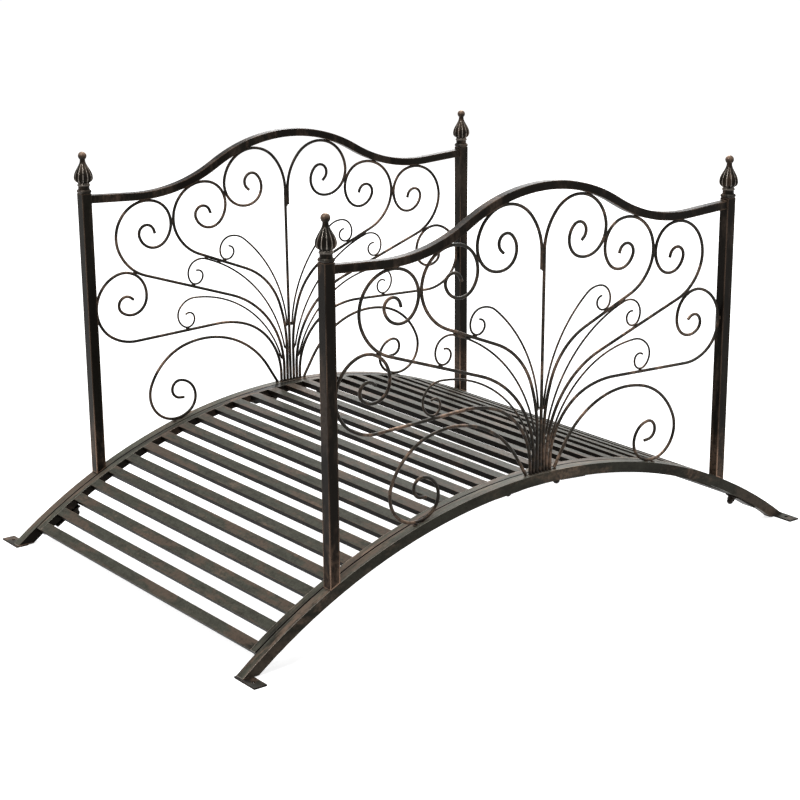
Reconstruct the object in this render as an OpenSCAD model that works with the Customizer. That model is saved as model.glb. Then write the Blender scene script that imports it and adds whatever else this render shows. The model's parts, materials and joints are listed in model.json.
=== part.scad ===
// Garden bridge of steel tube and bent rod: two arched side panels with scrollwork,
// and a slatted deck that bolts between them.
// X runs along the bridge, Y across it and Z up. The origin is on the ground, under the middle.

/* [Bridge] */
// Length over the feet, along the ground
span = 1300; // [1200:10:1400]
// Height of the arch at mid span
rise = 222; // [200:2:240]
// Width over the outer faces of the two arches
bridge_w = 810; // [600:10:1000]

/* [Tubes] */
// Side of the square tube of arches and posts
tube = 20; // [18:1:22]
// Side of the square tube of the top rails
rail_tube = 15; // [13:1:18]
// Side of the square tube along the deck's edges
bar_tube = 15; // [12:1:18]
// Gap between a deck edge bar and the arch beside it
bar_gap = 2.5; // [1:0.5:4]

/* [Deck] */
// Number of slats
slat_count = 30; // [24:2:30]
// Length of arch left bare beyond the last slat at each end
deck_setback = 54.4; // [40:0.2:70]
// Width of a slat
slat_w = 20; // [15:1:25]
// Thickness of a slat
slat_t = 10; // [6:1:12]

/* [Railing] */
// Distance from the end of the bridge to the middle of a post
post_setback = 191; // [180:1:205]
// Length of a post above the arch
post_h = 549; // [540:1:570]
// Drop from a post's top to the middle of the rail's end
rail_drop = 12; // [10:1:25]
// Height of the rail's hump, as a share of the distance out to its dips
hump_share = 0.2716; // [0.24:0.0004:0.3]
// Radius of the hump, as a share of the same distance
crest_share = 1; // [0.9:0.01:1.1]
// Slope of the rail's straight ends
rail_tail = 3.3; // [2:0.1:5]

/* [Scrollwork] */
// Diameter of the scroll rods
rod_d = 6; // [5:0.5:7]
// Diameter of the fine spray rods
spray_d = 4; // [3:0.5:4.5]
// Gap between neighbouring rods at the foot of the bundle
bundle_gap = 1.8; // [1.5:0.1:2.5]
// Clearance where a bent rod lies against another piece
touch = 0.2; // [0.1:0.1:0.5]

/* [Finials] */
// Overhang of the cap beyond the post's faces
cap_lip = 1; // [0.5:0.5:2]
// Height of the cap
cap_h = 9; // [6:1:12]
// Largest diameter of the fluted bulb
bulb_d = 36; // [32:1:40]
// Number of flutes round the bulb
flute_count = 12; // [8:1:16]
// Diameter of the ball on top
ball_d = 15; // [12:0.5:18]

/* [Feet and fixings] */
// Length of a foot plate along the bridge
foot_l = 25; // [20:1:40]
// Width of a foot plate across the bridge
foot_w = 60; // [50:1:70]
// Thickness of a foot plate
foot_t = 3; // [2:0.5:5]
// Diameter of the hole in a foot plate
foot_hole = 7; // [5:0.5:9]
// Distance from the hole to the plate's outer edge
hole_edge = 21; // [15:1:25]
// Distance from mid span to the inner tabs that carry the deck
inner_tab_x = 60; // [50:5:90]
// Distance from the end of the bridge to the outer tabs
outer_tab_setback = 110; // [90:5:150]
// Length of a tab along the bridge
tab_l = 60; // [40:1:80]
// Distance from a tab's inner end to its bolt
tab_end = 12; // [8:1:20]
// Width of a tab's lap under the arch
tab_lap = 5; // [3:1:10]
// Thickness of a tab
tab_t = 3; // [2:0.5:5]
// Diameter of a dome nut
nut_d = 13; // [10:0.5:15]
// Diameter of a deck bolt
bolt_d = 6; // [5:0.5:8]

/* [Hidden] */

arc_fn = 240;
knuckle = 0.1;
joint_gap = 0.1;
rod_fn = 24;
bronze = [0.28, 0.26, 0.23];
dark_bronze = [0.16, 0.14, 0.12];

// The arch is part of a circle through both feet and the crown
arch_r = (span * span / 4 + rise * rise) / (2 * rise);
arch_z = rise - arch_r;
panel_y = (bridge_w - tube) / 2;
function arch_top(x) = arch_z + sqrt(arch_r * arch_r - x * x);

post_x = span / 2 - post_setback;
post_foot = arch_top(post_x);
post_top = post_foot + post_h;
post_face = post_x - tube / 2;

// The scrollwork and the rail's hump are drawn for a panel 422.4 mm from the outermost rod of
// the bundle to the post. They take one scale from the panel's width or height, the smaller.
pitch = rod_d + bundle_gap;
fan_reach = post_face - touch - rod_d / 2 - 3 * pitch;
rail_rest = rail_tube / 2 + rod_d / 2 + touch;
rail_end = post_top - rail_drop;
hump_slope = 2 * atan(hump_share);
dip_bend = 335 / sin(hump_slope) - 335 * crest_share;
fan_room = rail_end - rise - post_face * tan(rail_tail) - rail_rest;
fan_height = 507 - 335 * hump_share - (335 + dip_bend * sin(rail_tail)) * tan(rail_tail)
    + dip_bend * (1 - cos(rail_tail));
fan = min(fan_reach / 422.4, fan_room / fan_height);

// Rail: a hump, two dips and straight ends that reach the posts, all tangent
dip_x = 335 * fan;
crest_r = dip_x * crest_share;
dip_r = dip_bend * fan;
tail_x = dip_x + dip_r * sin(rail_tail);
tail_z = rail_end - (post_face - tail_x) * tan(rail_tail);
dip_z = tail_z - dip_r * (1 - cos(rail_tail));
crest_z = dip_z + dip_x * hump_share;

// What the panel has to spare: over the arch, and beside the fan
lift = crest_z - rise - rail_rest - 507 * fan;
spare_reach = fan_reach - 422.4 * fan;

// Rods are 5.2 mm from middle to middle where a spray rests on a scroll of the drawn fan. They
// don't thin with the fan, so each piece down the fan settles this much below the one over it.
settle = (rod_d + spray_d) / 2 + touch - 5.2 * fan;

// Finial: heights above the post's top
neck_r = bulb_d * 0.28;
bulb_z = cap_h + 23;
bulb_low = -13;
bulb_high = 19.6;
ball_z = cap_h + 62.7;

// Every scroll ends in the same curl, bent on one jig: [radius, turn]
jig = [[68, 128], [49, 118], [34, 120], [17, 180]];
spray_jig = [[27, 100], [16, 140], [12, 110]];

// A bend list holds [radius, turn] for an arc, left turns positive, and [0, length] for a straight
function left(arcs) = [for (a = arcs) [a[0] * fan, a[1]]];
function right(arcs) = [for (a = arcs) [-a[0] * fan, a[1]]];
function run(length) = [[0, length]];

curl_end = 6 * fan;

// Position and heading after one bend
function after(p, b) =
    b[0] == 0
    ? [p[0] + b[1] * cos(p[2]), p[1] + b[1] * sin(p[2]), p[2]]
    : let (turned = p[2] + b[1] * sign(b[0]))
        [p[0] + b[0] * (sin(turned) - sin(p[2])), p[1] - b[0] * (cos(turned) - cos(p[2])), turned];
function stations(start, bends) =
    [for (i = 0, p = start; i <= len(bends); p = i < len(bends) ? after(p, bends[i]) : p, i = i + 1) p];

// One bend of a round rod in the XZ plane, cut short by the given lengths at its start and end
module bend(p, b, d, start_cut, end_cut) {
    if (b[0] == 0)
        translate([p[0], 0, p[1]]) rotate([0, 90 - p[2], 0]) translate([0, 0, start_cut])
            cylinder(d = d, h = b[1] - start_cut - end_cut, $fn = rod_fn);
    else {
        per_mm = 180 / PI / abs(b[0]);
        centre = [p[0] - b[0] * sin(p[2]), 0, p[1] + b[0] * cos(p[2])];
        from = b[0] > 0 ? p[2] - 90 + start_cut * per_mm : p[2] + 90 - b[1] + end_cut * per_mm;
        translate(centre) rotate([90, 0, 0]) rotate([0, 0, from])
            rotate_extrude(angle = b[1] - (start_cut + end_cut) * per_mm, $fn = arc_fn)
                translate([abs(b[0]), 0]) circle(d = d, $fn = rod_fn);
    }
}

// A collar a hair thicker than the rod, bridging the small gap where two bends meet
module collar(p, d) {
    translate([p[0], 0, p[1]]) rotate([0, 90 - p[2], 0])
        cylinder(d = d + knuckle, h = 0.8, center = true, $fn = rod_fn);
}

// A rod that starts at [x, z, heading] and follows its bends
module bent_rod(d, start, bends) {
    at = stations(start, bends);
    last = len(bends) - 1;
    union() {
        for (i = [0:last]) bend(at[i], bends[i], d, i == 0 ? 0 : joint_gap, i == last ? 0 : joint_gap);
        for (i = [1:last]) collar(at[i], d);
    }
}

module both_ways() {
    children();
    mirror([1, 0, 0]) children();
}

// Puts a piece drawn in the XZ plane into the front or the back panel.
// The back panel is the same panel turned round.
module in_panel(side) {
    if (side == "front") translate([0, -panel_y, 0]) children();
    else rotate([0, 0, 180]) translate([0, -panel_y, 0]) children();
}

// A square-cut band along the arch, its top at the given radius, between two angles from the crown
module arch_band(top_r, h, w, y, half_angle) {
    translate([0, y + w / 2, arch_z]) rotate([90, 0, 0]) rotate([0, 0, 90 - half_angle])
        rotate_extrude(angle = 2 * half_angle, $fn = arc_fn)
            translate([top_r - h, 0]) square([h, w]);
}

module arch() {
    half_angle = asin(span / 2 / arch_r);
    color(bronze) difference() {
        arch_band(arch_r, tube, tube, 0, half_angle + 3);
        translate([-span, -tube, -tube * 3]) cube([2 * span, 2 * tube, tube * 3 + foot_t]);
    }
}

module post() {
    color(bronze) difference() {
        translate([post_x - tube / 2, -tube / 2, post_foot - tube])
            cube([tube, tube, post_h + tube]);
        translate([0, tube, arch_z]) rotate([90, 0, 0]) cylinder(r = arch_r, h = 2 * tube, $fn = arc_fn);
    }
}

// Half section of the turned part of a finial, from the cap's top up
module finial_section() {
    wall_r = bulb_d * 0.64;
    wall = [for (i = [0:7]) let (h = bulb_low + (bulb_high - bulb_low) * i / 7)
        [bulb_d / 2 - wall_r + sqrt(wall_r * wall_r - h * h), bulb_z + h]];
    square([neck_r, cap_h + 12]);
    translate([neck_r, cap_h + 6]) circle(r = 2.2, $fn = 48);
    polygon(concat([[0, bulb_z + bulb_low]], wall, [[0, bulb_z + bulb_high]]));
    difference() {
        translate([0, cap_h + 42]) square([8.6, 14]);
        translate([14, cap_h + 50.4]) circle(r = 9, $fn = 96);
    }
    intersection() {
        translate([0, ball_z]) circle(d = ball_d, $fn = 64);
        translate([0, ball_z - ball_d / 2]) square(ball_d);
    }
}

// Square cap, ringed neck, bulb with flutes that run out towards its ends, and a ball
module finial() {
    cap_side = tube + 2 * cap_lip;
    flute_bend = bulb_d * 0.85;
    color(dark_bronze) translate([post_x, 0, post_top]) {
        translate([-cap_side / 2, -cap_side / 2, 0]) cube([cap_side, cap_side, cap_h - 3]);
        translate([0, 0, cap_h - 3]) rotate([0, 0, 45])
            cylinder(d1 = cap_side * sqrt(2), d2 = (cap_side - 4) * sqrt(2), h = 3, $fn = 4);
        difference() {
            rotate_extrude($fn = 96) finial_section();
            for (i = [0:flute_count - 1]) rotate([0, 0, (i + 0.5) * 360 / flute_count])
                translate([bulb_d / 2 + 1 - flute_bend, 0, bulb_z]) rotate([90, 0, 0]) rotate([0, 0, -38])
                    rotate_extrude(angle = 80, $fn = 96)
                        translate([flute_bend, 0]) circle(r = 2.3, $fn = 32);
        }
    }
}

module foot() {
    outer = -tube / 2 + foot_w;
    color(bronze) difference() {
        translate([span / 2 - foot_l, tube / 2 - foot_w, 0]) cube([foot_l, foot_w, foot_t]);
        translate([span / 2 - foot_l / 2, -outer + hole_edge, -foot_t])
            cylinder(d = foot_hole, h = 3 * foot_t, $fn = 32);
    }
}

module rail_arc(x, z, r, from, sweep) {
    translate([x, rail_tube / 2, z]) rotate([90, 0, 0]) rotate([0, 0, from])
        rotate_extrude(angle = sweep, $fn = arc_fn)
            translate([r - rail_tube / 2, 0]) square(rail_tube);
}

// A hair thicker than the rail, it makes the lengths on either side of it one solid
module rail_knuckle(x, z, slope) {
    translate([x, 0, z]) rotate([0, -slope, 0]) cube([1, rail_tube + knuckle, rail_tube + knuckle], center = true);
}

module top_rail() {
    overrun = tube;
    tail_length = (post_face - tail_x) / cos(rail_tail) + overrun;
    color(bronze) difference() {
        union() {
            rail_arc(0, crest_z - crest_r, crest_r, 90 - hump_slope, 2 * hump_slope);
            both_ways() {
                rail_knuckle(crest_r * sin(hump_slope), crest_z - crest_r * (1 - cos(hump_slope)), -hump_slope);
                rail_arc(dip_x, dip_z + dip_r, dip_r, 270 - hump_slope, hump_slope + rail_tail);
                rail_knuckle(tail_x, tail_z, rail_tail);
                translate([tail_x, -rail_tube / 2, tail_z]) rotate([0, -rail_tail, 0])
                    translate([0, 0, -rail_tube / 2]) cube([tail_length, rail_tube, rail_tube]);
            }
        }
        both_ways() translate([post_face, -tube, dip_z - tube]) cube([2 * tube, 2 * tube, 4 * tube]);
    }
}

// Bends after the bundle's straight foot, for each kind of scroll
crown_z = rise + lift + 370.7 * fan - 0.5 * settle;
crown_x = (rod_d + touch) / 2;
crown_bends = concat(run(31 * fan), right([[104, 42.5]]), right(jig), run(curl_end));
upper_bends = concat(right([[310, 18], [140, 50]]), run(116.9 * fan), left([[93, 41.5]]), left(jig), run(curl_end));
middle_bends = concat(right([[180, 43], [185, 28]]), run(207.5 * fan), left([[93, 50]]), left(jig), run(curl_end));
lower_bends = concat(right([[130, 73], [185, 19]]), run(184.8 * fan + spare_reach / cos(2)),
    left([[93, 36]]), left(jig), run(curl_end));
base_bends = concat(run(44 * fan), right([[175, 73], [124, 52.5], [56, 150], [37, 138], [18, 180]]), run(10 * fan));
inner_spray = concat(right([[275, 46.5], [44, 47]]), right(spray_jig));
middle_spray = concat(right([[275, 61.5], [36, 41.5]]), right(spray_jig));
outer_spray = concat(right([[220, 72], [42, 54]]), right(spray_jig));

// A scroll rod that stands on the arch in the bundle, number i out from the stem
module bundle_rod(i, straight, bends) {
    x = i * pitch;
    foot_z = arch_top(x - rod_d / 2) + touch / 2;
    knee_z = rise + lift + straight * fan - (2 * i - 0.5) * settle;
    bent_rod(rod_d, [x, foot_z, 90], concat(run(knee_z - foot_z), bends));
}

// The stem leans aside at its top and runs on into one crown scroll
module stem_scroll() {
    lean = atan(crown_x / (crown_z - rise));
    foot_z = rise + touch / 2;
    at = [crown_x, crown_z, 90];
    color(dark_bronze) union() {
        translate([0, 0, foot_z]) rotate([0, lean, 0])
            cylinder(d = rod_d, h = norm([crown_x, crown_z - foot_z]) - joint_gap, $fn = rod_fn);
        bend(at, crown_bends[0], rod_d, joint_gap, joint_gap);
        collar(at, rod_d);
        rest = [for (i = [1:len(crown_bends) - 1]) crown_bends[i]];
        bent_rod(rod_d, after(at, crown_bends[0]), rest);
        collar(after(at, crown_bends[0]), rod_d);
    }
}

// The other crown scroll is welded beside the stem
module crown_scroll() {
    color(dark_bronze) mirror([1, 0, 0]) bent_rod(rod_d, [crown_x, crown_z, 90], crown_bends);
}

module upper_scrolls() {
    color(dark_bronze) both_ways() bundle_rod(1, 70.1, upper_bends);
}

module middle_scrolls() {
    color(dark_bronze) both_ways() bundle_rod(2, 30, middle_bends);
}

module lower_scrolls() {
    color(dark_bronze) both_ways() bundle_rod(3, 15.3, lower_bends);
}

// A base scroll springs from the arch beside the bundle. It is turned on its foot until its
// widest curl rests on the arch: that curl's centre lies on a circle about each of the two.
module base_scrolls() {
    x = 3 * pitch + rod_d + 4.1;
    foot = [x, arch_top(x) + rod_d / 3];
    curl = stations([0, 0, 0], base_bends)[3];
    curl_r = 56 * fan;
    centre = [curl[0] + curl_r * sin(curl[2]), curl[1] - curl_r * cos(curl[2])];
    reach = norm(centre);
    aim = foot - [0, arch_z];
    rest_r = arch_r + curl_r + rod_d / 2 + touch;
    swing = acos((norm(aim) ^ 2 + reach ^ 2 - rest_r ^ 2) / (2 * norm(aim) * reach));
    heading = atan2(aim[1], aim[0]) - 180 + swing - atan2(centre[1], centre[0]);
    color(dark_bronze) both_ways() bent_rod(rod_d, [foot[0], foot[1], heading], base_bends);
}

// The inner sprays spring from the leaning stem, the others from the gaps between the scrolls
inner_z = rise + lift + 120 * fan + 3 * settle;
inner_x = crown_x * (inner_z - rise) / (crown_z - rise) + (rod_d + spray_d) / 2 + touch;
middle_z = rise + lift + 71 * fan - 2.5 * settle;
outer_z = rise + lift + 50 * fan - 4.5 * settle;

module sprays(x, z, heading, bends) {
    color(dark_bronze) both_ways() bent_rod(spray_d, [x, z, heading], bends);
}

module deck_bar() {
    deck_angle = deck_half_angle();
    color(bronze) arch_band(arch_r, bar_tube, bar_tube, panel_y - tube / 2 - bar_gap - bar_tube / 2, deck_angle);
}

function deck_half_angle() = asin(span / 2 / arch_r) - deck_setback / arch_r * 180 / PI;
deck_inner_w = bridge_w - 2 * (tube + bar_gap + bar_tube);

module slat(i) {
    slat_angle = slat_w / arch_r * 180 / PI;
    turn = (i / (slat_count - 1) - 0.5) * (2 * deck_half_angle() - slat_angle);
    translate([0, 0, arch_z]) rotate([0, turn, 0])
        translate([-slat_w / 2, -deck_inner_w / 2, arch_r - slat_t])
            cube([slat_w, deck_inner_w, slat_t]);
}

module slats(part) {
    third = round(slat_count / 3);
    first = part * third;
    last = part == 2 ? slat_count - 1 : first + third - 1;
    color(bronze) for (i = [first:last]) slat(i);
}

// A tab under an arch reaches in under the deck bar. A spacer on it carries the bar, and a bolt
// through both ends in a dome nut.
module fixing(x) {
    arch_bottom = arch_r - tube;
    bolt_x = tab_end - tab_l / 2;
    bolt_y = tube / 2 + bar_gap + bar_tube / 2;
    turn = asin(x / arch_r) - atan(bolt_x / arch_bottom);
    droop = tab_l * tab_l / 8 / arch_bottom + 0.05;
    spacer = tube - bar_tube + droop - 0.35;
    translate([0, panel_y, arch_z]) rotate([0, turn, 0]) translate([0, 0, arch_bottom - droop]) {
        translate([-tab_l / 2, -bolt_y - bar_tube / 2, -tab_t])
            cube([tab_l, bolt_y + bar_tube / 2 + tab_lap, tab_t]);
        translate([bolt_x, -bolt_y, -tab_t - 3]) cylinder(d = bolt_d + 3, h = tab_t + 3 + spacer, $fn = 32);
        translate([bolt_x, -bolt_y, -tab_t - nut_d / 2 - 1.5]) sphere(d = nut_d, $fn = 32);
    }
}

module deck_fixings() {
    color(dark_bronze) for (x = [inner_tab_x, span / 2 - outer_tab_setback]) both_ways() {
        fixing(x);
        mirror([0, 1, 0]) fixing(x);
    }
}

for (side = ["front", "back"]) {
    left = side == "front" ? 1 : 0;
    in_panel(side) arch();
    in_panel(side) mirror([left, 0, 0]) post();
    in_panel(side) mirror([1 - left, 0, 0]) post();
    in_panel(side) mirror([left, 0, 0]) finial();
    in_panel(side) mirror([1 - left, 0, 0]) finial();
    in_panel(side) mirror([left, 0, 0]) foot();
    in_panel(side) mirror([1 - left, 0, 0]) foot();
    in_panel(side) top_rail();
    in_panel(side) stem_scroll();
    in_panel(side) crown_scroll();
    in_panel(side) upper_scrolls();
    in_panel(side) middle_scrolls();
    in_panel(side) lower_scrolls();
    in_panel(side) base_scrolls();
    in_panel(side) sprays(inner_x, inner_z, 86, inner_spray);
    in_panel(side) sprays(1.7 * pitch, middle_z, 80, middle_spray);
    in_panel(side) sprays(2.8 * pitch, outer_z, 74, outer_spray);
}
mirror([0, 1, 0]) deck_bar();  // front_deck_bar
deck_bar();  // back_deck_bar
slats(0);  // left_slats
slats(1);  // middle_slats
slats(2);  // right_slats
deck_fixings();
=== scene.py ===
import json
import bpy
import numpy as np
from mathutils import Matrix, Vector
from mathutils.bvhtree import BVHTree


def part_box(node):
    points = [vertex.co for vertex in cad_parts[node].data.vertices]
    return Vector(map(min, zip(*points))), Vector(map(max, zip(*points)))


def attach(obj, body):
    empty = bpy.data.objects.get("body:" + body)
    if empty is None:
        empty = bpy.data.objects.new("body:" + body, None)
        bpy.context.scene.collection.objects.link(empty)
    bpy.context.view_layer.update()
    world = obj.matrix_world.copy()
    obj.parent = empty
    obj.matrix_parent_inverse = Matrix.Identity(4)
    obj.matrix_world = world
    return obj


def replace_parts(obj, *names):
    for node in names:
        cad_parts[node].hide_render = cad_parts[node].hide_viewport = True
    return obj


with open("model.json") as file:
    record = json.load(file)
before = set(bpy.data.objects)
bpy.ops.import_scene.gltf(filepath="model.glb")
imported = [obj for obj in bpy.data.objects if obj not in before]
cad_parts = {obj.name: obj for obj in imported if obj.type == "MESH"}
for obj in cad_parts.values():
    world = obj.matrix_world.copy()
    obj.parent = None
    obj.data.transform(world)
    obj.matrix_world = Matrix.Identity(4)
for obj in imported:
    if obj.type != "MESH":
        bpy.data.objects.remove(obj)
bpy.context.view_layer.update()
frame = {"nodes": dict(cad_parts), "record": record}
nodes = frame["nodes"]
print("frame loaded:", len(nodes), "nodes")

# Sizes that the finishes and the new pieces share, read from the frame
lowFoot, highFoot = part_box("front_left_foot")[0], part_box("front_right_foot")[1]
archLow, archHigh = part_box("front_arch")
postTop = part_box("front_left_finial")[0][2]
span = highFoot[0] - lowFoot[0]
rise = archHigh[2]
tube = archHigh[1] - archLow[1]
panelY = (archLow[1] + archHigh[1]) / 2
gapMiddle = -(archHigh[1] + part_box("front_deck_bar")[0][1]) / 2  # from the deck's middle line
archRadius = (span ** 2 / 4 + rise ** 2) / (2 * rise)
archCentre = rise - archRadius


# One socket of a finish. Sums and products of sockets add their Math nodes.
class Wire:
    def __init__(self, finish, socket):
        self.finish = finish
        self.socket = socket

    def math(self, operation, *others):
        return self.finish.add("Math", {"operation": operation}, dict(enumerate((self, *others))))

    def __add__(self, other):
        return self.math("ADD", other)

    def __radd__(self, other):
        return self.math("ADD", other)

    def __sub__(self, other):
        return self.math("SUBTRACT", other)

    def __rsub__(self, other):
        return self.math("MULTIPLY_ADD", -1, other)

    def __mul__(self, other):
        return self.math("MULTIPLY", other)

    def __rmul__(self, other):
        return self.math("MULTIPLY", other)

    def __abs__(self):
        return self.math("ABSOLUTE")

    def orMore(self, other):
        return self.math("MAXIMUM", other)

    def between(self, low, high):  # 0 below low, 1 above high, smooth in between
        return self.finish.add("MapRange", {"interpolation_type": "SMOOTHSTEP"}, {
            "Value": self, "From Min": low, "From Max": high,
        })


# The nodes of a material or of the world. One method adds any node: its settings first, then
# the values or links of its sockets.
class Finish:
    def __init__(self, owner, output="OutputMaterial"):
        owner.use_nodes = True
        self.owner = owner
        self.tree = owner.node_tree
        self.tree.nodes.clear()
        self.output = self.tree.nodes.new("ShaderNode" + output)

    def add(self, kind, settings=None, inputs=None, out=0):
        node = self.tree.nodes.new("ShaderNode" + kind)
        for name, value in (settings or {}).items():
            setattr(node, name, value)
        for name, value in (inputs or {}).items():
            self.plug(value, node.inputs[name])
        return Wire(self, node.outputs[out])

    def plug(self, value, socket):
        if isinstance(value, Wire):
            self.tree.links.new(value.socket, socket)
        elif isinstance(value, (tuple, list)) and len(value) == 3 and len(socket.default_value) == 4:
            socket.default_value = (*value, 1)
        else:
            socket.default_value = value

    def mix(self, factor, first, second):  # colours, first where the factor is 0
        return self.add("Mix", {"data_type": "RGBA"}, {0: factor, 6: first, 7: second}, out=2)

    def noise(self, where, pattern):
        scale, detail, roughness = patterns[pattern]
        return self.add("TexNoise", inputs={
            "Vector": where, "Scale": scale, "Detail": detail, "Roughness": roughness,
        })

    def along(self, vector, axis):
        return self.add("SeparateXYZ", inputs={0: vector}, out=axis)

    def bevel(self, radius):
        return self.add("Bevel", {"samples": 6}, {"Radius": radius})

    def surface(self, shader):
        self.tree.links.new(shader.socket, self.output.inputs["Surface"])
        return self.owner


# Antique bronze paint: near-black ground, olive and brown bloom in patches, copper where it is
# rubbed, with painted light on faces turned up, on corners and on flute ridges, and painted shade in
# gaps and flute hollows. Colours are linear light, lengths are metres.
bronze = {
    "black": (0.0040, 0.0031, 0.0024),
    "olive": (0.052, 0.052, 0.041),
    "brown": (0.074, 0.053, 0.040),
    "copper": (0.34, 0.22, 0.155),
    # pale bare metal, also used as a painted highlight on corners and flute ridges
    "bare": (0.55, 0.49, 0.43),
    "shine": (1.0, 0.87, 0.74),  # tint of the reflection
    "metal": 0.7,  # how metallic rubbed places are
    "corner": 0.0014,  # radius that corners seem to have
    "bump": 0.00014,  # depth of the brush marks
}

patterns = {  # closeness, detail and roughness of each noise
    "mottle": (140, 3, 0.6),
    "speckle": (380, 2, 0.6),
    "grain": (900, 2, 0.6),
    "strokes": (75, 4, 0.6),
    "bloom": (9, 4, 0.6),
    "patches": (14.4, 5, 0.68),
    "rubbing": (30, 5, 0.7),
    "areas": (7, 2, 0.5),
    "breaks": (22, 4, 0.65),
}

bands = {  # from where each thing shows, and where it is full
    "toplitFacing": (0.15, 0.85),  # upward part of the face's normal, which sets the painted light from above
    "top": (-0.4, 0.8),  # the same on the ball, for its painted highlight
    "patches": (0.51, 0.62),  # noise
    "rubbing": (0.52, 0.70),  # noise
    "areas": (0.42, 0.60),  # noise
    "breaks": (0.33, 0.60),  # noise
    "corner": (0.005, 0.12),  # how far a wide bevel turns the normal
    "crestWearAndHighlight": (0.501, 0.53),  # pointiness; wear and painted highlight on the flute ridges
    "hollow": (0.48, 0.505),  # pointiness; below it sets the painted shade of the flute hollows
    "ends": (0.20, 0.38),  # distance from the deck's middle line
    "feet": (0.03, 0.16),  # height
    "low": (0.14, 0.30),  # height
    "gap": (0.0015, 0.0024),  # distance from the middle of the gap
    "flutes": (0.010, 0.018),  # height above the post
    "ball": (0.064, 0.072),  # height above the post
}

usualFinish = {
    "cover": 0.5,  # noise above which olive spreads
    "pale": 1.0,  # lightness of the olive
    "warm": 1.0,  # lightness of the brown
    "settledAndToplitShare": 0.5,  # share of the bloom and brown kept to faces turned up: partly bloom settled on the tops, partly painted light from above
    "edge": 0.0,  # rubbing along corners, with a painted highlight where they catch light
    "reach": 0.0014,  # how far it goes
    "even": 0.0,  # how unbroken it is
    "rim": "copper",  # its colour
    "spread": 0.0,  # how far rubbing in patches goes
    "low": 0.0,  # more rubbing towards the deck
    "ends": 0.0,  # more brown towards the side panels
    "feet": 0.0,  # more brown towards the ground
    "gap": False,  # painted shade: black beside the gap between arch and deck bar
    "ridgeWearAndHighlight": 0.0,  # pale ridges of the flutes: wear and painted highlight
    "run": (1, 1, 1),  # closeness of the patches along x, y and z
}

scrollFinish = {
    "olive": 0.60, "brown": 1.0, "cover": 0.45, "pale": 2.0, "warm": 2.0, "settledAndToplitShare": 0.85,
    "rub": 0.80, "spread": 0.06, "low": 0.25,
    "run": (0.6, 1, 0.6), "rough": 0.32, "gloss": 0.15,
}

# What differs from the usual finish. Olive, brown and rub are the strengths of each bloom and of
# rubbing in patches, and gloss is the strength of the reflection.
finishes = {
    "panel_tube": {
        "olive": 0.25, "brown": 0.85, "pale": 1.1,
        "edge": 0.85, "reach": 0.0042, "rub": 0.25, "low": 1.0,
        "run": (1, 1, 0.3), "rough": 0.36, "gloss": 0.06,
    },
    "arch_tube": {
        "olive": 0.9, "brown": 0.9, "cover": 0.34, "pale": 2.5, "warm": 1.9, "settledAndToplitShare": 0.68,
        "edge": 0.75, "reach": 0.0016, "even": 0.16, "rim": "bare", "rub": 0.40, "spread": 0.03,
        "feet": 0.8, "gap": True,
        "run": (0.25, 2.2, 0.6), "rough": 0.42, "gloss": 0.05,
    },
    "finial": {
        "olive": 0.5, "brown": 0.95, "cover": 0.30, "pale": 1.8, "warm": 2.2, "settledAndToplitShare": 0.95,
        "rub": 0.60, "spread": 0.05, "ridgeWearAndHighlight": 1.0,
        "run": (1, 1, 0.4), "rough": 0.22, "gloss": 0.07,
    },
    "foot_plate": {
        "olive": 0.5, "brown": 0.9, "cover": 0.45, "pale": 1.4, "warm": 1.3, "settledAndToplitShare": 0.95,
        "edge": 0.5, "rub": 0.30, "spread": 0.02,
        "rough": 0.45, "gloss": 0.08,
    },
    "scroll_rod": scrollFinish,
    "spray_rod": scrollFinish,
    "slat": {
        "olive": 1.0, "brown": 0.8, "cover": 0.27, "pale": 1.5, "warm": 1.4, "settledAndToplitShare": 1.0,
        "edge": 0.40, "even": 0.05, "rub": 0.22, "ends": 0.7,
        "run": (2.0, 0.5, 2.0), "rough": 0.42, "gloss": 0.04,
    },
    "deck_bar": {
        "olive": 0.9, "brown": 0.9, "cover": 0.36, "pale": 2.3, "warm": 1.9, "settledAndToplitShare": 0.95,
        "edge": 0.75, "reach": 0.0016, "even": 0.16, "rim": "bare", "rub": 0.40, "spread": 0.03,
        "gap": True,
        "run": (0.25, 2.2, 0.6), "rough": 0.42, "gloss": 0.05,
    },
    "fixing": {
        "olive": 0.05, "brown": 0.3, "edge": 0.2, "rub": 0.06, "rough": 0.4, "gloss": 0.15,
    },
    "weld": {
        "olive": 0.10, "brown": 0.9, "rub": 0.60, "spread": 0.04, "rough": 0.44, "gloss": 0.18,
    },
}


def tinted(name, lightness):
    return [channel * lightness for channel in bronze[name]]


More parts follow.
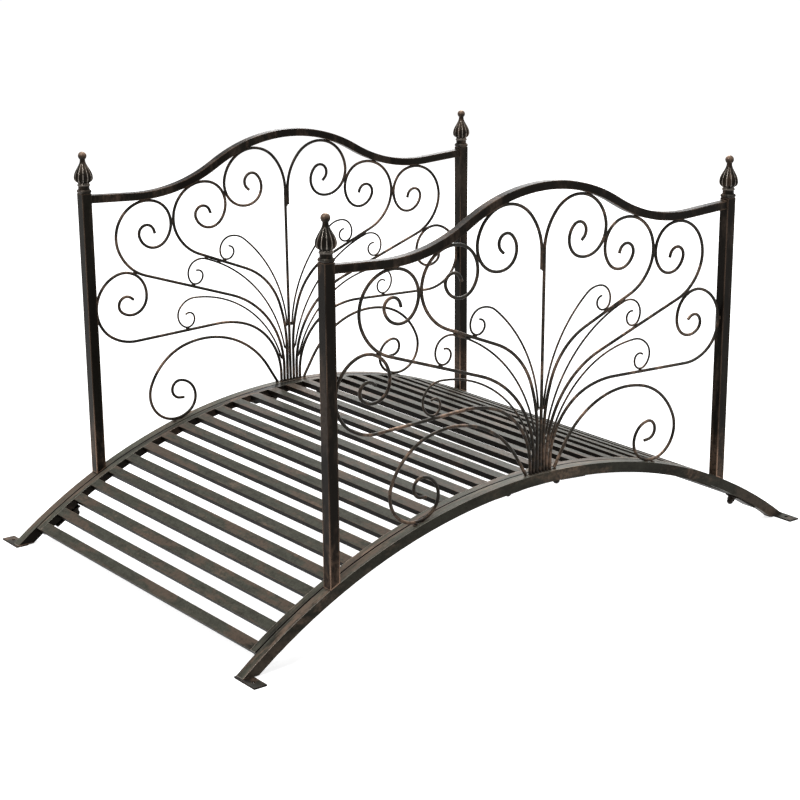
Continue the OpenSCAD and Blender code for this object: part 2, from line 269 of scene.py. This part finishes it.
def bronzePaint(name, look):
    f = Finish(bpy.data.materials.new(name))
    where = f.add("TexCoord", out="Object")
    brushed = f.add("Mapping", inputs={"Vector": where, "Scale": look["run"]})
    across = abs(f.along(where, 1))
    height = f.along(where, 2)
    flat = f.add("NewGeometry", out="Normal")
    toplitFacing = f.along(flat, 2).between(*bands["toplitFacing"])
    # painted light from above: bloom, brown and rubbing are stronger on faces turned up
    settledAndToplit = toplitFacing * look["settledAndToplitShare"] + (1 - look["settledAndToplitShare"])
    mottle = f.noise(where, "mottle")
    speckle = f.noise(where, "speckle")
    grain = f.noise(where, "grain")
    strokes = f.noise(brushed, "strokes")

    # Olive bloom and brown patches over the black ground, lighter on faces turned up: partly bloom
    # settled on the tops, partly painted light from above
    uneven = mottle.between(0.30, 0.65) * 0.2 + speckle.between(0.30, 0.65) * 0.2
    uneven = uneven + strokes.between(0.25, 0.70) * 0.3 + 0.3
    bloom = f.noise(brushed, "bloom").between(look["cover"] - 0.08, look["cover"] + 0.16)
    bloom = bloom * uneven * settledAndToplit * look["olive"]
    browner = across.between(*bands["ends"]) * look["ends"]
    browner = browner + (1 - height.between(*bands["feet"])) * look["feet"]
    patches = (f.noise(brushed, "patches") + browner * 0.10).between(*bands["patches"])
    patches = patches * (mottle.between(0.25, 0.60) * 0.6 + 0.4) * settledAndToplit * look["brown"]
    colour = f.mix(bloom, bronze["black"], tinted("olive", look["pale"]))
    colour = f.mix(patches, colour, tinted("brown", look["warm"]))

    # Copper where hands and feet rub, in patches and along corners, more on faces turned up as
    # painted light from above. Corners also carry a painted highlight. A corner is where a wide
    # bevel turns the normal away from the face.
    low = (1 - height.between(*bands["low"])) * look["low"]
    near = low * 0.12 + look["spread"]
    rubbed = (f.noise(brushed, "rubbing") + near).between(*bands["rubbing"])
    rubbed = rubbed * (f.noise(brushed, "areas") + near * 2).between(*bands["areas"])
    # rubbing is stronger on faces turned up, partly as a painted highlight from above
    rubbed = rubbed * (mottle.between(0.34, 0.58) * 0.7 + 0.3) * (settledAndToplit * 0.6 + 0.4) * look["rub"]
    metal = rubbed
    rounded = f.bevel(bronze["corner"])
    if look["edge"]:
        wide = f.bevel(look["reach"]) if look["reach"] > bronze["corner"] else rounded
        facing = f.add("VectorMath", {"operation": "DOT_PRODUCT"}, {0: flat, 1: wide}, out="Value")
        unbroken = f.noise(brushed, "breaks") + low * 0.04 + look["even"]
        # wear and painted highlight along the corners; on pieces without low rubbing they are kept
        # to faces turned up, as painted light from above
        cornerWearAndHighlight = ((1 - facing) * (low * 3 + 1)).between(*bands["corner"])
        cornerWearAndHighlight = cornerWearAndHighlight * unbroken.between(*bands["breaks"])
        cornerWearAndHighlight = cornerWearAndHighlight * (low * 0.65 + 0.35 if look["low"] else toplitFacing) * look["edge"]
        colour = f.mix(cornerWearAndHighlight, colour, bronze[look["rim"]])
        rubbed = rubbed * (1 - cornerWearAndHighlight)
        metal = rubbed.orMore(cornerWearAndHighlight)
    colour = f.mix(rubbed, colour, bronze["copper"])

    if look["gap"]:
        # painted shade: black strips beside the gap between arch tube and deck bar
        gapShade = 1 - abs(across - gapMiddle).between(*bands["gap"])
        colour = f.mix(gapShade, colour, bronze["black"])
        metal = metal * (1 - gapShade)

    # Flutes have black hollows of painted shade and pale ridges of wear and painted highlight. The
    # ball has a painted copper highlight on top.
    if look["ridgeWearAndHighlight"]:
        sharp = f.add("NewGeometry", out="Pointiness")
        above = height - postTop
        # wear and painted highlight on the flute ridges, brighter on faces turned up as painted
        # light from above
        crestWearAndHighlight = sharp.between(*bands["crestWearAndHighlight"]) * mottle.between(0.25, 0.50) * look["ridgeWearAndHighlight"]
        crestWearAndHighlight = crestWearAndHighlight * (above.between(*bands["flutes"]) * 0.85 + 0.15)
        # painted highlight: copper on the upper half of the ball
        ball = above.between(*bands["ball"]) * f.along(flat, 2).between(*bands["top"]) * 0.35
        # painted shade: black in the flute hollows
        colour = f.mix(sharp.between(*bands["hollow"]), bronze["black"], colour)
        colour = f.mix(crestWearAndHighlight * (toplitFacing * 0.5 + 0.5), colour, bronze["bare"])
        colour = f.mix(ball, colour, bronze["copper"])
        metal = metal.orMore(crestWearAndHighlight).orMore(ball)

    marks = mottle * 0.5 + grain * 0.3 + strokes * 0.2
    bump = f.add("Bump", inputs={
        "Strength": 1.0, "Distance": bronze["bump"], "Height": marks, "Normal": rounded,
    })
    return f.surface(f.add("BsdfPrincipled", inputs={
        "Base Color": colour,
        "Metallic": metal * bronze["metal"],
        "Roughness": look["rough"] + (mottle - 0.5) * 0.22 + (grain - 0.5) * 0.12,
        "Normal": bump,
        "Specular IOR Level": look["gloss"],
        "Specular Tint": bronze["shine"],
    }))


paints = {}
for name, look in finishes.items():
    paints[name] = bronzePaint("bronze_" + name, {**usualFinish, **look})
slotOf = {s["node"]: s["material_slot"] for s in frame["record"]["subparts"]}
for name, node in nodes.items():
    node.data.materials.clear()
    node.data.materials.append(paints["arch_tube" if name.endswith("_arch") else slotOf[name]])
print("finishes on the CAD nodes")


# Grids of points as one mesh. Each grid is closed round its columns.
def gridPiece(name, grids, paint):
    vertices, quads, start = [], [], 0
    for points in grids:
        rows, columns = points.shape[:2]
        index = start + np.arange(rows * columns).reshape(rows, columns)
        index = np.hstack([index, index[:, :1]])
        corners = (index[:-1, :-1], index[:-1, 1:], index[1:, 1:], index[1:, :-1])
        quads.append(np.stack(corners, -1).reshape(-1, 4))
        vertices.append(points.reshape(-1, 3))
        start += rows * columns
    mesh = bpy.data.meshes.new(name)
    mesh.from_pydata(np.concatenate(vertices).tolist(), [], np.concatenate(quads).tolist())
    mesh.validate()
    mesh.polygons.foreach_set("use_smooth", np.ones(len(mesh.polygons), bool))
    mesh.materials.append(paints[paint])
    piece = bpy.data.objects.new(name, mesh)
    bpy.context.scene.collection.objects.link(piece)
    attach(piece, "root")
    return piece


def mirrored(grids):  # across the middle of the span, with the columns turned back to face out
    return [(points * (-1, 1, 1))[:, ::-1] for points in grids]


def archTop(x):  # height of the arch's outer curve, a circle
    return archCentre + np.sqrt(archRadius ** 2 - x ** 2)


# Finial: heights are above the post's top
finial = {
    "side": 0.022, "capHeight": 0.0078, "capRound": 0.0030, "capRows": 15, "squareness": 9,
    "neck": 0.0108, "neckFoot": 0.0114, "ringHeight": 0.0160, "ring": 0.0022, "ringReach": 0.0101,
    "bulb": 0.018, "bulbHeight": 0.0300, "below": 0.0118, "above": 0.0320,
    "fullness": 2.4, "waist": 0.8,
    "stalk": 0.0052, "ball": 0.0082, "ballHeight": 0.0710,
    "flutes": 12, "depth": 0.0032, "scoop": 1.1, "fluteLow": 0.9, "fluteHigh": 0.86,
    "lean": 0.6, "taper": 0.7,
    "columns": 288, "rows": 260,
}


# Radius at each height: the outermost of neck, ring, onion bulb, stalk and ball. Below its widest
# ring the bulb is sqrt(1 - down^fullness), above it half a cosine wave to the power waist.
def finialRadius(z):
    f = finial
    down = np.clip((f["bulbHeight"] - z) / f["below"], 0, 1)
    up = np.clip((z - f["bulbHeight"]) / f["above"], 0, 1)
    under = z < f["bulbHeight"]
    onion = np.where(
        under,
        f["bulb"] * np.sqrt(1 - down ** f["fullness"]),
        f["stalk"] + (f["bulb"] - f["stalk"]) * (0.5 + 0.5 * np.cos(np.pi * up)) ** f["waist"],
    )
    fromRing = z - f["ringHeight"]
    bead = f["ringReach"] + np.sqrt(np.clip(f["ring"] ** 2 - fromRing ** 2, 0, None))
    ring = np.where(abs(fromRing) < f["ring"], bead, 0)
    ball = np.sqrt(np.clip(f["ball"] ** 2 - (z - f["ballHeight"]) ** 2, 0, None))
    neck = np.where(under, f["neck"], 0)
    stalk = np.where(~under & (z < f["ballHeight"]), f["stalk"], 0)
    return np.max([onion * (up < 1), ring, ball, neck, stalk], axis=0)


# Rings of radius r at height z. The cap's edge is half a circle, and its rings are squares with
# rounded corners, by the formula |cos|^n + |sin|^n = 1 with n the squareness. Scoops of |sin|
# shape cut the flutes. Up the bulb their depth is half a sine wave to the power taper, and a
# lean under 1 puts the deepest place low.
def finialSurface(centre, base):
    f = finial
    bend = np.linspace(-np.pi / 2, np.pi / 2, f["capRows"])
    capR = f["side"] / 2 - f["capRound"] * (1 - np.cos(bend))
    capZ = f["capHeight"] / 2 * (1 + np.sin(bend))
    height = np.linspace(f["capHeight"], f["ballHeight"] + f["ball"], f["rows"])
    r = np.concatenate([[0], capR, [f["neckFoot"]], finialRadius(height)])
    z = np.concatenate([[0], capZ, [f["capHeight"]], height])
    square = np.arange(len(r)) <= f["capRows"]
    angle = np.linspace(0, 2 * np.pi, f["columns"], endpoint=False)
    power = f["squareness"]
    corner = (abs(np.cos(angle)) ** power + abs(np.sin(angle)) ** power) ** (-1 / power)
    reach = np.where(square[:, None], corner[None], 1)
    low = f["bulbHeight"] - f["fluteLow"] * f["below"]
    high = f["bulbHeight"] + f["fluteHigh"] * f["above"]
    along = np.clip((z - low) / (high - low), 0, 1)
    depth = f["depth"] * np.sin(np.pi * along ** f["lean"]) ** f["taper"]
    depth = depth * np.clip(r / f["bulb"], 0, 1)
    scoop = abs(np.sin(f["flutes"] / 2 * angle)) ** f["scoop"]
    radius = r[:, None] * reach - depth[:, None] * scoop[None]
    return np.stack([
        centre[0] + radius * np.cos(angle),
        centre[1] + radius * np.sin(angle),
        base + np.repeat(z[:, None], f["columns"], 1),
    ], -1)


for side in ("front", "back"):
    for end in ("left", "right"):
        node = side + "_" + end + "_finial"
        low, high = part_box(node)
        turned = finialSurface((low + high) / 2, low[2])
        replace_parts(gridPiece(node + "_turned", [turned], "finial"), node)
print("finials turned and fluted")

# Weld seams
weld = {
    "bead": 0.0012, "short": 0.007, "aside": 0.0019,  # seams between rods
    "footRing": 0.0034, "footBead": 0.0009, "footLift": 0.0004, "ringPoints": 40,  # rods' feet
    "postBead": 0.0014, "railBead": 0.0010,  # seams of the square tubes
    "ripple": 0.0020, "swell": 0.22, "step": 0.0004, "sides": 10,  # shape of every seam
    "touching": 0.0012, "apart": 0.030,  # what counts as a joint
    "rod": 0.003, "spray": 0.002, "halfStem": 0.004,  # radii of the rods, and past the middle
    "slack": 0.0005, "skin": 0.00005,  # how near points are to the face that is looked for
}
joints = [
    ("stem_scroll", "top_rail"), ("upper_scrolls", "top_rail"), ("middle_scrolls", "top_rail"),
    ("stem_scroll", "crown_scroll"), ("stem_scroll", "upper_scrolls"),
    ("upper_scrolls", "middle_scrolls"), ("middle_scrolls", "lower_scrolls"),
    ("lower_scrolls", "right_post"), ("base_scrolls", "arch"),
    ("inner_sprays", "stem_scroll"), ("inner_sprays", "upper_scrolls"),
    ("middle_sprays", "upper_scrolls"), ("middle_sprays", "middle_scrolls"),
    ("outer_sprays", "middle_scrolls"), ("outer_sprays", "lower_scrolls"),
]


# A tube along the points whose radius swells and shrinks like a row of overlapping drops and
# closes at both ends
def seam(points, radius):
    points = np.asarray(points, float)
    run = np.concatenate([[0], np.cumsum(np.linalg.norm(np.diff(points, axis=0), axis=1))])
    s = np.linspace(0, run[-1], max(int(run[-1] / weld["step"]), 8))
    path = np.stack([np.interp(s, run, points[:, k]) for k in range(3)], -1)
    ahead = np.gradient(path, axis=0)
    ahead /= np.linalg.norm(ahead, axis=1)[:, None]
    up = (0.31, 0.0, 0.95) if abs(ahead[:, 1]).max() > 0.7 else (0.0, 1.0, 0.0)
    side = np.cross(ahead, up)
    side /= np.linalg.norm(side, axis=1)[:, None]
    over = np.cross(side, ahead)
    drops = 1 - weld["swell"] + weld["swell"] * abs(np.cos(np.pi * s / weld["ripple"]))
    ends = np.sqrt(np.clip(1 - (2 * s / run[-1] - 1) ** 8, 0, 1))
    angle = np.linspace(0, 2 * np.pi, weld["sides"], endpoint=False)[None, :, None]
    r = (radius * drops * ends)[:, None, None]
    ring = np.cos(angle) * side[:, None] + np.sin(angle) * over[:, None]
    return path[:, None] + r * ring


def meshPoints(node):
    mesh = nodes["front_" + node].data
    points = np.empty(len(mesh.vertices) * 3, np.float32)
    mesh.vertices.foreach_get("co", points)
    return points.reshape(-1, 3).astype(float)


def spine(node):  # middle line of a rod in the front panel's right half, from its front-most points
    points = meshPoints(node)
    front = points[points[:, 1] < points[:, 1].min() + weld["skin"]]
    return np.unique(np.round(front[front[:, 0] > -weld["halfStem"]][:, [0, 2]], 4), axis=0)


def touches(rod, other):  # places where a rod lies against another piece, and the way across each
    mesh = nodes["front_" + other].data
    skin = BVHTree.FromPolygons([v.co for v in mesh.vertices], [p.vertices for p in mesh.polygons])
    line = spine(rod)
    hits = [skin.find_nearest((x, panelY, z)) for x, z in line]
    distance = np.array([hit[3] for hit in hits])
    reach = weld["spray" if rod.endswith("sprays") else "rod"] + weld["touching"]
    found = []
    for k in np.argsort(distance):
        place = np.array([hits[k][0].x, hits[k][0].z])
        if distance[k] > reach:
            break
        if all(np.linalg.norm(place - known[0]) > weld["apart"] for known in found):
            across = place - line[k]
            found.append((place, across / np.linalg.norm(across)))
    return found


def shortSeams(place, across):  # one on the front and one on the back of a joint between rods
    along = np.array([-across[1], across[0]]) * weld["short"] / 2
    ends = [(place - along), (place + along)]
    return [
        seam([(x, panelY + y, z) for x, z in ends], weld["bead"])
        for y in (-weld["aside"], weld["aside"])
    ]


def rodSeams():
    return [
        line
        for rod, other in joints
        for place, across in touches(rod, other)
        for line in shortSeams(place, across)
    ]


def footSeam(rod):  # a ring round a rod's foot that lies on the arch's slope
    line = spine(rod)
    x = line[line[:, 1].argmin(), 0]
    turn = np.linspace(0, 2 * np.pi, weld["ringPoints"])[:, None]
    alongArch = weld["footRing"] * np.array([1, 0, -x / archRadius])
    acrossArch = np.array([0, weld["footRing"], 0])
    ring = np.cos(turn) * alongArch + np.sin(turn) * acrossArch
    return seam((x, panelY, archTop(x) + weld["footLift"]) + ring, weld["footBead"])


def crossSeam(x, z):  # across the tube from its front face to its back face
    return seam([(x, panelY - tube / 2, z), (x, panelY + tube / 2, z)], weld["postBead"])


def railSeams(postX):  # round the end of the top rail
    rail = meshPoints("top_rail")
    end = rail[rail[:, 0] > postX - weld["slack"]]
    (y0, z0), (y1, z1) = end[:, 1:].min(0), end[:, 1:].max(0)
    corners = [(postX, y, z) for y, z in ((y0, z0), (y1, z0), (y1, z1), (y0, z1), (y0, z0))]
    return [seam(ends, weld["railBead"]) for ends in zip(corners[:-1], corners[1:])]


def archEndSeams():  # where the arch's cut end stands on its foot plate
    arch = meshPoints("arch")
    cut = arch[(arch[:, 2] < highFoot[2] + weld["slack"]) & (arch[:, 0] > 0)]
    inner, outer, z = cut[:, 0].min(), cut[:, 0].max(), cut[0, 2]
    sides = [
        seam([(inner, y, z), (outer, y, z)], weld["postBead"])
        for y in (panelY - tube / 2, panelY + tube / 2)
    ]
    return sides + [crossSeam(inner, z)]


def panelSeams():  # all the seams of the front panel's right half
    rods = ("stem_scroll", "upper_scrolls", "middle_scrolls", "lower_scrolls", "base_scrolls")
    postLow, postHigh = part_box("front_right_post")
    rodFeet = [footSeam(rod) for rod in rods]
    postFeet = [crossSeam(x, archTop(x)) for x in (postLow[0], postHigh[0])]
    return rodSeams() + rodFeet + postFeet + railSeams(postLow[0]) + archEndSeams()


rightSeams = panelSeams()
frontSeams = rightSeams + mirrored(rightSeams)
backSeams = [points * (-1, -1, 1) for points in frontSeams]
gridPiece("front_panel_welds", frontSeams, "weld")
gridPiece("back_panel_welds", backSeams, "weld")
print("weld seams:", len(frontSeams) + len(backSeams))

# Washers and hexagons of the dome nuts under the arches
nut = {
    "inner": 0.060, "outer": 0.110, "tab": 0.060, "tabEnd": 0.012, "tabThick": 0.003,
    "aside": 0.020, "clear": 0.00005,
    "washer": 0.0088, "washerThick": 0.0012, "flats": 0.0134, "height": 0.0052, "columns": 72,
}


# Rings along the bolt's axis, first round the washer and then round the hexagon, with small
# chamfers on both. The hexagon's radius is flats / 2 / cos(angle), with the angle measured from
# the middle of each flat. The tab is straight, so it meets the arch's curve at its ends and
# droops from it in the middle.
def nutSurface(x, towards):
    n = nut
    archBottom = archRadius - tube
    boltX = n["tabEnd"] - n["tab"] / 2
    turn = np.arcsin(x / archRadius) - np.arctan(boltX / archBottom)
    droop = n["tab"] ** 2 / 8 / archBottom + n["clear"]
    under = archBottom - droop - n["tabThick"]
    angle = np.linspace(0, 2 * np.pi, n["columns"], endpoint=False)
    hexagon = n["flats"] / 2 / np.cos((angle % (np.pi / 3)) - np.pi / 6)
    t, h, w = n["washerThick"], n["height"], n["washer"]
    deep = np.array([0, 0, 0.2 * t, t, t, t, t + 0.0004, t + h - 0.0006, t + h, t + h])
    washerR = np.array([0.004, w - 0.0003, w, w, 0.008, 0, 0, 0, 0, 0])
    hexR = np.array([0, 0, 0, 0, 0, 0.96, 1, 1, 0.94, 0.5])
    radius = washerR[:, None] + hexR[:, None] * hexagon[None]
    a = boltX + radius * np.cos(angle)
    y = towards * (abs(panelY) - n["aside"] + radius * np.sin(angle))
    depth = under - np.repeat(deep[:, None], n["columns"], 1)
    points = np.stack([
        a * np.cos(turn) + depth * np.sin(turn),
        y,
        archCentre - a * np.sin(turn) + depth * np.cos(turn),
    ], -1)
    return points if towards < 0 else points[:, ::-1]


boltPlaces = (nut["inner"], span / 2 - nut["outer"])
nuts = [nutSurface(x, towards) for x in boltPlaces for towards in (-1, 1)]
gridPiece("dome_nut_collars", nuts + mirrored(nuts), "fixing")
print("nuts")

# Photograph's viewpoint
camera = {
    "place": (-2.1938, -2.8654, 1.3141),
    "down": 16.832, "turn": -38.639,
    "lens": 87.21, "shift": (-0.0556, 0.0271),
}
eye = bpy.data.cameras.new("eye")
eye.lens = camera["lens"]
eye.sensor_width = 36
eye.shift_x, eye.shift_y = camera["shift"]
eyeObject = bpy.data.objects.new("eye", eye)
eyeObject.location = camera["place"]
eyeObject.rotation_euler = (np.radians(90 - camera["down"]), 0, np.radians(camera["turn"]))
bpy.context.scene.collection.objects.link(eyeObject)
bpy.context.scene.camera = eyeObject

# Pale floor and plain studio light
studio = {"floor": 0.8, "glow": 0.77, "sky": 0.32, "floorSize": 400.0}
lamps = {
    "overhead": {"place": (0.6, 0.9, 3.3), "aim": (0, 0, 0.2), "size": 2.6, "power": 80},
    "behind": {"place": (2.4, 3.0, 1.9), "aim": (0, 0, 0.3), "size": 2.0, "power": 60},
    "left": {"place": (-2.4, -0.6, 2.9), "aim": (-0.3, 0, 0.2), "size": 1.4, "power": 58},
    "right": {"place": (1.9, -2.0, 1.3), "aim": (0.4, 0, 0.25), "size": 1.0, "power": 8},
}


def seenDirectly(f):  # 1 for the camera and for reflections, 0 for light on the bridge
    return f.add("LightPath", out="Is Camera Ray").orMore(f.add("LightPath", out="Is Glossy Ray"))


def studioFloor():
    f = Finish(bpy.data.materials.new("studio_floor"))
    matte = f.add("BsdfDiffuse", inputs={"Color": (studio["floor"],) * 3})
    strength = seenDirectly(f) * studio["glow"]
    glow = f.add("Emission", inputs={"Color": (1, 1, 1), "Strength": strength})
    half = studio["floorSize"] / 2
    corners = [(-half, -half, 0), (half, -half, 0), (half, half, 0), (-half, half, 0)]
    mesh = bpy.data.meshes.new("studio_floor")
    mesh.from_pydata(corners, [], [[0, 1, 2, 3]])
    mesh.materials.append(f.surface(f.add("AddShader", inputs={0: matte, 1: glow})))
    floor = bpy.data.objects.new("studio_floor", mesh)
    bpy.context.scene.collection.objects.link(floor)


def studioSky():
    f = Finish(bpy.data.worlds.new("studio_sky"), "OutputWorld")
    strength = seenDirectly(f) * (1 - studio["sky"]) + studio["sky"]
    background = f.add("Background", inputs={"Color": (1, 1, 1), "Strength": strength})
    bpy.context.scene.world = f.surface(background)


def hangLamp(name, lamp):
    light = bpy.data.lights.new(name, "AREA")
    light.size = lamp["size"]
    light.energy = lamp["power"]
    holder = bpy.data.objects.new(name, light)
    holder.location = lamp["place"]
    towards = Vector(lamp["aim"]) - Vector(lamp["place"])
    holder.rotation_euler = towards.to_track_quat("-Z", "Y").to_euler()
    bpy.context.scene.collection.objects.link(holder)


studioFloor()
studioSky()
for name, lamp in lamps.items():
    hangLamp(name, lamp)
bpy.context.scene.view_settings.view_transform = "Standard"
print("camera, floor and lamps")
